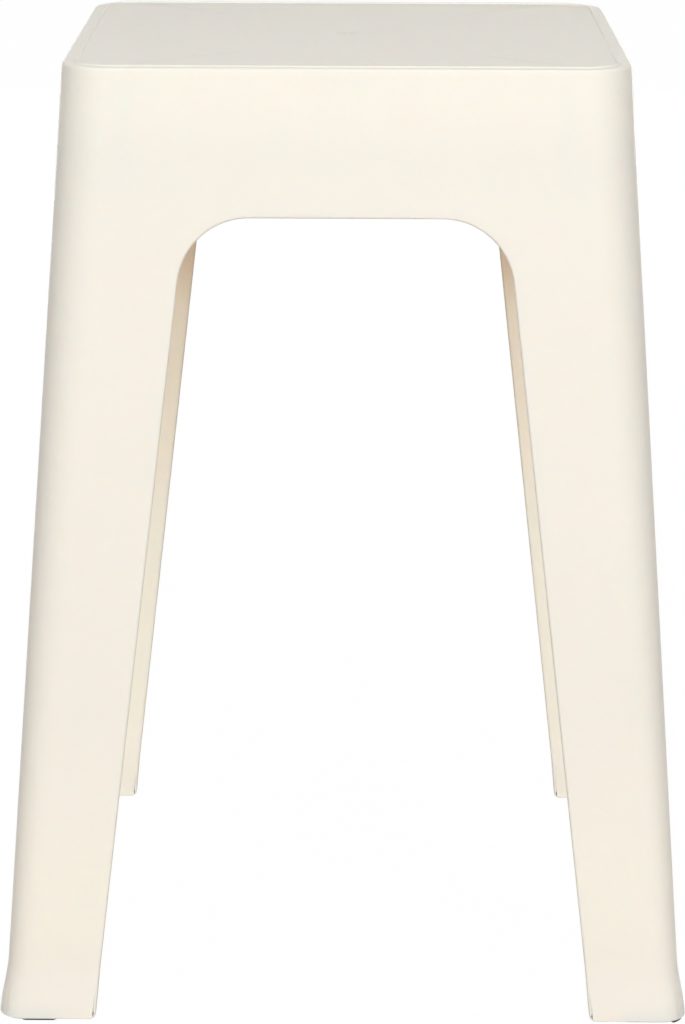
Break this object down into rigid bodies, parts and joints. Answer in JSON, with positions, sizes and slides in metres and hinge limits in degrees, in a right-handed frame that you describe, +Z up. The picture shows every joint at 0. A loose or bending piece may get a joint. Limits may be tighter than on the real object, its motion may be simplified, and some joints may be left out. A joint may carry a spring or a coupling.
{
  "type": "stacking stool",
  "caption": "Square one-piece moulded stacking stool with arched sides, flared feet and rubber foot pads.",
  "frame": {"origin": "on the floor, under the middle of the seat", "axes": "+Z up, +X to the right as seen from the front, the front face looks along -Y"},
  "size_m": [0.3266, 0.3266, 0.45],
  "materials": {
    "moulding": "satin cream polypropylene",
    "pad_rubber": "matte dark grey"
  },
  "bodies": {
    "root": {"stool_shell": "moulding", "front_left_foot_pad": "pad_rubber", "front_right_foot_pad": "pad_rubber", "rear_left_foot_pad": "pad_rubber", "rear_right_foot_pad": "pad_rubber"}
  },
  "joints": []
}
